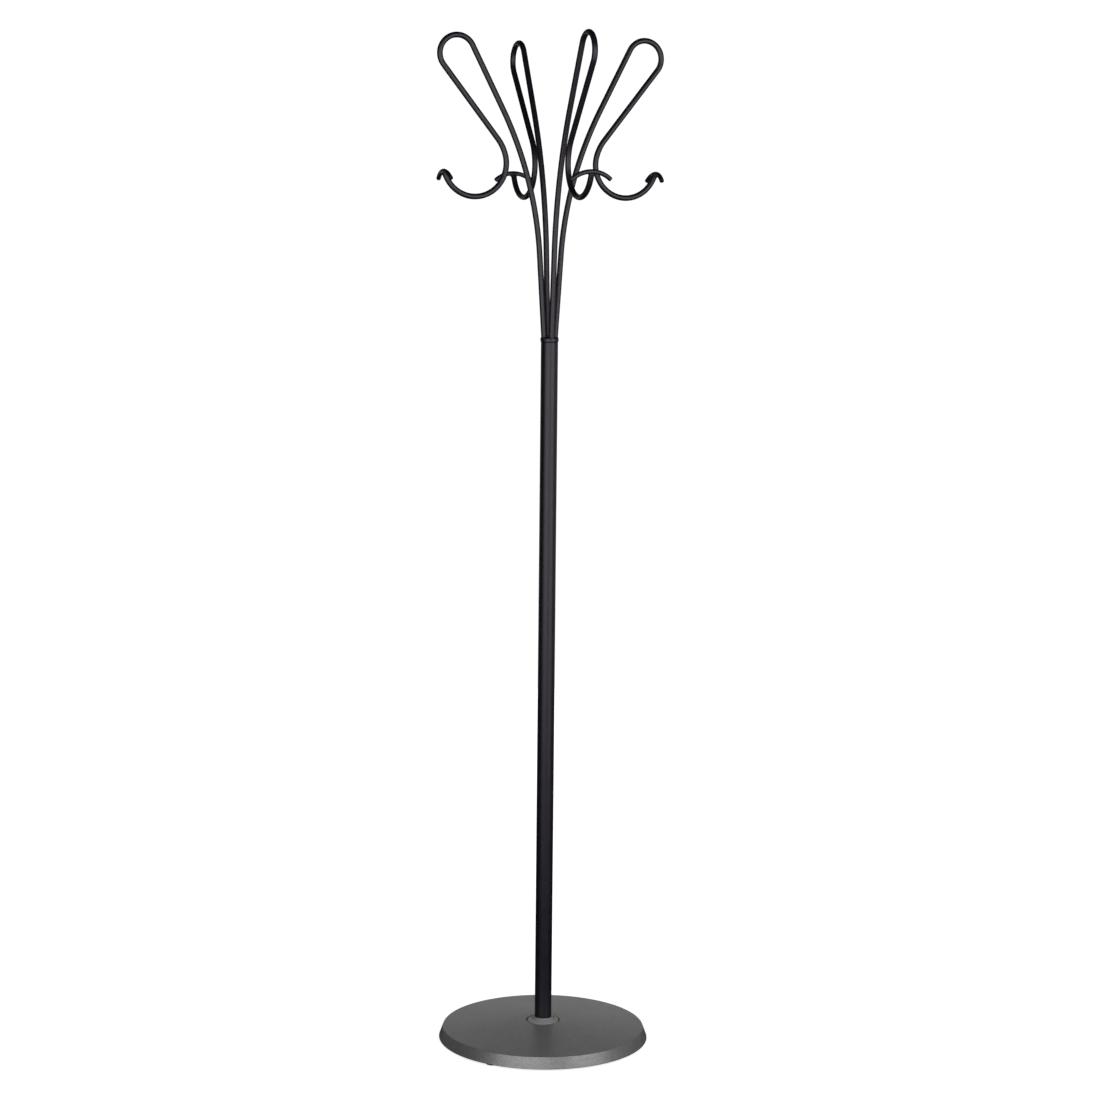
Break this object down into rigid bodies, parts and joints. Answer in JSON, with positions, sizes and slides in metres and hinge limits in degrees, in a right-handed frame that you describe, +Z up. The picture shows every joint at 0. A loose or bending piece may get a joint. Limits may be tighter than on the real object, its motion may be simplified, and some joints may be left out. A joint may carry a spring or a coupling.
{
  "type": "standing coat rack",
  "caption": "Free-standing coat rack: weighted round foot, slim straight pole, and bent-rod arms that each form a high hat loop and a low coat hook with an arched crossbar at its tip.",
  "frame": {"origin": "centre of the foot on the floor, under the pole", "axes": "+Z up along the pole; the arms point along +X, +Y, -X and -Y"},
  "size_m": [0.415, 0.415, 1.78],
  "materials": {
    "black_coat": "satin near-black powder coat, faintly warm",
    "grey_coat": "matt mid-grey powder coat with a fine texture",
    "grey_plastic": "satin mid-grey moulded plastic",
    "concrete": "cast concrete, unpainted",
    "rubber": "matt black rubber",
    "zinc": "bright zinc-plated steel",
    "bare_steel": "bare turned steel"
  },
  "bodies": {
    "root": {"base_cover": "grey_coat", "base_ballast": "concrete", "base_collar": "grey_plastic", "base_bolt": "zinc", "base_washer": "zinc", "lock_washer": "zinc", "pole_tube": "black_coat", "pole_foot_plug": "bare_steel", "head_plug": "black_coat", "foot_pad_1": "rubber", "arm_1": "black_coat", "crossbar_1": "black_coat", "foot_pad_2": "rubber", "arm_2": "black_coat", "crossbar_2": "black_coat", "foot_pad_3": "rubber", "arm_3": "black_coat", "crossbar_3": "black_coat", "foot_pad_4": "rubber", "arm_4": "black_coat", "crossbar_4": "black_coat"}
  },
  "joints": []
}
